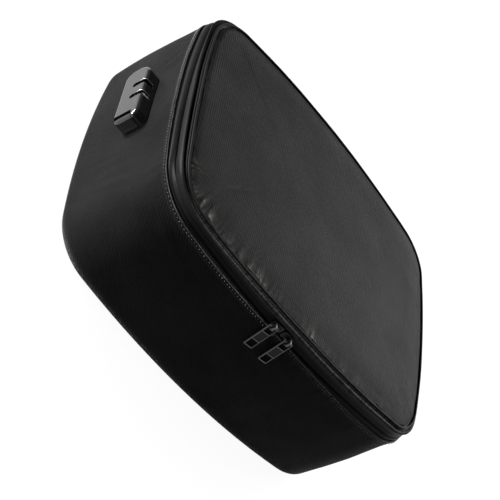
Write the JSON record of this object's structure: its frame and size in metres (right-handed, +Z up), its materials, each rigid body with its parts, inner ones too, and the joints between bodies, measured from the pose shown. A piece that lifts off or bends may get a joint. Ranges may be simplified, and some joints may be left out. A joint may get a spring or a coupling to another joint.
{
  "type": "fireproof document bag",
  "caption": "Soft rectangular fire-resistant document case with a zipped padded lid, swinging zip pulls and a small combination zip lock on one short side.",
  "frame": {"origin": "centre of the flat base that the bag lies on", "axes": "+Z up out of the lid, -Y towards the long side with the zip sliders, -X towards the short side with the lock"},
  "size_m": [0.383, 0.2976, 0.1344],
  "materials": {
    "cover_cloth": "matt coated cloth",
    "lid_cloth": "matt woven cloth",
    "board": "matt",
    "insulation": "felted mineral fibre",
    "liner": "silicone coated glass cloth",
    "coil": "satin",
    "zip_metal": "satin black",
    "lock_case": "satin grey-black",
    "dial": "satin",
    "gasket": "matt",
    "steel": "zinc plated"
  },
  "bodies": {
    "bag": {"base_cover": "cover_cloth", "side_cover": "cover_cloth", "mouth_hem": "cover_cloth", "base_board": "board", "front_board": "board", "rear_board": "board", "left_board": "board", "right_board": "board", "base_insulation": "insulation", "wall_insulation": "insulation", "base_liner": "liner", "wall_liner": "liner", "mouth_binding": "cover_cloth", "lower_zip_lip": "cover_cloth", "lower_zip_tape": "cover_cloth", "lower_zip_coil": "coil", "zip_end_stops": "steel", "hinge_cloth": "cover_cloth", "hinge_liner": "liner", "lock_casing": "lock_case", "lock_gasket": "gasket", "lock_base_plate": "steel", "lock_backing_plate": "steel", "lock_screws": "steel", "latch_spring": "steel", "dial_shaft": "steel", "dial_detent_spring": "steel"},
    "lid": {"lid_cover": "lid_cloth", "lid_pad": "insulation", "lid_insulation": "insulation", "lid_board": "board", "lid_liner": "liner", "lid_rim": "insulation", "lid_piping": "cover_cloth", "upper_zip_lip": "cover_cloth", "upper_zip_tape": "cover_cloth", "upper_zip_coil": "coil"},
    "slider_left": {"slider_left": "zip_metal"},
    "slider_right": {"slider_right": "zip_metal"},
    "pull_left": {"pull_left": "zip_metal"},
    "pull_right": {"pull_right": "zip_metal"},
    "release": {"release_button": "lock_case", "latch_bar": "steel"},
    "dial_1": {"dial_1": "dial"},
    "dial_2": {"dial_2": "dial"},
    "dial_3": {"dial_3": "dial"}
  },
  "joints": [
    {"name": "lid_hinge", "type": "hinge", "parent": "bag", "child": "lid", "pos_m": [0, 0.146, 0.1212], "axis": [-1, 0, 0], "range_deg": [0, 110], "deforming": ["hinge_cloth", "hinge_liner"]},
    {"name": "slider_left_travel", "type": "hinge", "parent": "bag", "child": "slider_left", "pos_m": [0, 0.60337, 0.1212], "axis": [0, 0, 1], "range_deg": [-7.9, 0]},
    {"name": "pull_left_swing", "type": "hinge", "parent": "slider_left", "child": "pull_left", "pos_m": [-0.03077, -0.14748, 0.1212], "axis": [-0.9993, 0.0362, 0], "range_deg": [0, 165]},
    {"name": "slider_right_travel", "type": "hinge", "parent": "bag", "child": "slider_right", "pos_m": [0, 0.60337, 0.1212], "axis": [0, 0, 1], "range_deg": [0, 11]},
    {"name": "pull_right_swing", "type": "hinge", "parent": "slider_right", "child": "pull_right", "pos_m": [-0.01054, -0.14803, 0.1212], "axis": [-0.9998, 0.0188, 0], "range_deg": [0, 165]},
    {"name": "release_slide", "type": "slide", "parent": "bag", "child": "release", "axis": [0, 1, 0], "range_m": [0, 0.003], "stiffness_N_per_m": 300, "springref_m": -0.003, "deforming": ["latch_spring"]},
    {"name": "dial_1_spin", "type": "hinge", "parent": "bag", "child": "dial_1", "pos_m": [-0.1914, 0.025, 0.0633], "axis": [0, 1, 0], "continuous": true},
    {"name": "dial_2_spin", "type": "hinge", "parent": "bag", "child": "dial_2", "pos_m": [-0.1914, 0.0185, 0.0633], "axis": [0, 1, 0], "continuous": true},
    {"name": "dial_3_spin", "type": "hinge", "parent": "bag", "child": "dial_3", "pos_m": [-0.1914, 0.012, 0.0633], "axis": [0, 1, 0], "continuous": true}
  ]
}
